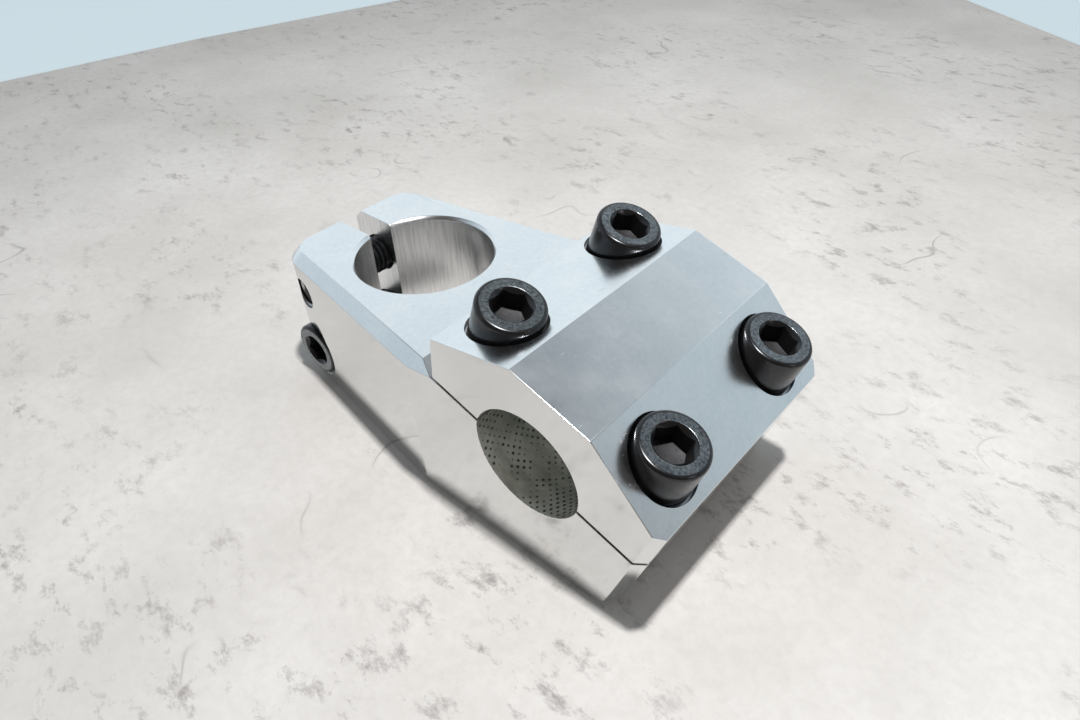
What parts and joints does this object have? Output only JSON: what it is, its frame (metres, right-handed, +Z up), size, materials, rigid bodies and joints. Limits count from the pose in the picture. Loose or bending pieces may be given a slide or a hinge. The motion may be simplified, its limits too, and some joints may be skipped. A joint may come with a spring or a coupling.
{
  "type": "handlebar stem",
  "caption": "Top-load handlebar stem: a split steerer clamp with cross pinch bolts, and a faceted bar clamp cap held down by socket-head bolts.",
  "frame": {"origin": "centre of the bounding box's bottom, on the body's flat underside", "axes": "+X forward from the steerer to the handlebar, +Y to the rider's left along the handlebar, +Z up along the steerer"},
  "size_m": [0.103, 0.05, 0.0475],
  "materials": {
    "polished_aluminium": "machined, then polished, satin on the cap's middle facet",
    "black_oxide_steel": "black oxide, worn grey on the head's edges"
  },
  "bodies": {
    "stem": {"stem_body": "polished_aluminium"},
    "cap": {"bar_clamp_cap": "polished_aluminium", "clamp_washer_rear_left": "black_oxide_steel", "clamp_washer_rear_right": "black_oxide_steel", "clamp_washer_front_left": "black_oxide_steel", "clamp_washer_front_right": "black_oxide_steel"},
    "clamp_bolt_rear_left": {"clamp_bolt_rear_left": "black_oxide_steel"},
    "clamp_bolt_rear_right": {"clamp_bolt_rear_right": "black_oxide_steel"},
    "clamp_bolt_front_left": {"clamp_bolt_front_left": "black_oxide_steel"},
    "clamp_bolt_front_right": {"clamp_bolt_front_right": "black_oxide_steel"},
    "pinch_washer_upper": {"pinch_washer_upper": "black_oxide_steel"},
    "pinch_bolt_upper": {"pinch_bolt_upper": "black_oxide_steel"},
    "pinch_washer_lower": {"pinch_washer_lower": "black_oxide_steel"},
    "pinch_bolt_lower": {"pinch_bolt_lower": "black_oxide_steel"}
  },
  "joints": [
    {"name": "cap_lift", "type": "slide", "parent": "stem", "child": "cap", "axis": [0.3173, 0, 0.9483], "range_m": [-0.0005, 0.01625]},
    {"name": "clamp_bolt_rear_left_turn", "type": "hinge", "parent": "cap", "child": "clamp_bolt_rear_left", "pos_m": [0.00935, 0.0155, 0.0292], "axis": [0.3173, 0, 0.9483], "range_deg": [-145, 4681]},
    {"name": "clamp_bolt_rear_right_turn", "type": "hinge", "parent": "cap", "child": "clamp_bolt_rear_right", "pos_m": [0.00935, -0.0155, 0.0292], "axis": [0.3173, 0, 0.9483], "range_deg": [-145, 4681]},
    {"name": "clamp_bolt_front_left_turn", "type": "hinge", "parent": "cap", "child": "clamp_bolt_front_left", "pos_m": [0.04046, 0.0155, 0.0188], "axis": [0.3173, 0, 0.9483], "range_deg": [-145, 4681]},
    {"name": "clamp_bolt_front_right_turn", "type": "hinge", "parent": "cap", "child": "clamp_bolt_front_right", "pos_m": [0.04046, -0.0155, 0.0188], "axis": [0.3173, 0, 0.9483], "range_deg": [-145, 4681]},
    {"name": "pinch_upper_travel", "type": "slide", "parent": "stem", "child": "pinch_washer_upper", "axis": [0, 1, 0], "range_m": [-0.00026, 0.01126]},
    {"name": "pinch_bolt_upper_turn", "type": "hinge", "parent": "pinch_washer_upper", "child": "pinch_bolt_upper", "pos_m": [-0.04469, 0, 0.0231], "axis": [0, 1, 0], "range_deg": [-72, 3240]},
    {"name": "pinch_lower_travel", "type": "slide", "parent": "stem", "child": "pinch_washer_lower", "axis": [0, -1, 0], "range_m": [-0.00026, 0.01126]},
    {"name": "pinch_bolt_lower_turn", "type": "hinge", "parent": "pinch_washer_lower", "child": "pinch_bolt_lower", "pos_m": [-0.04469, 0, 0.0081], "axis": [0, -1, 0], "range_deg": [-72, 3240]}
  ],
  "couplings": [
    {"joint": "clamp_bolt_rear_left_turn", "follows": "cap_lift", "rad_per_m": 5026.5},
    {"joint": "clamp_bolt_rear_right_turn", "follows": "cap_lift", "rad_per_m": 5026.5},
    {"joint": "clamp_bolt_front_left_turn", "follows": "cap_lift", "rad_per_m": 5026.5},
    {"joint": "clamp_bolt_front_right_turn", "follows": "cap_lift", "rad_per_m": 5026.5},
    {"joint": "pinch_upper_travel", "follows": "pinch_bolt_upper_turn", "m_per_rad": 0.00019894},
    {"joint": "pinch_lower_travel", "follows": "pinch_bolt_lower_turn", "m_per_rad": 0.00019894}
  ]
}
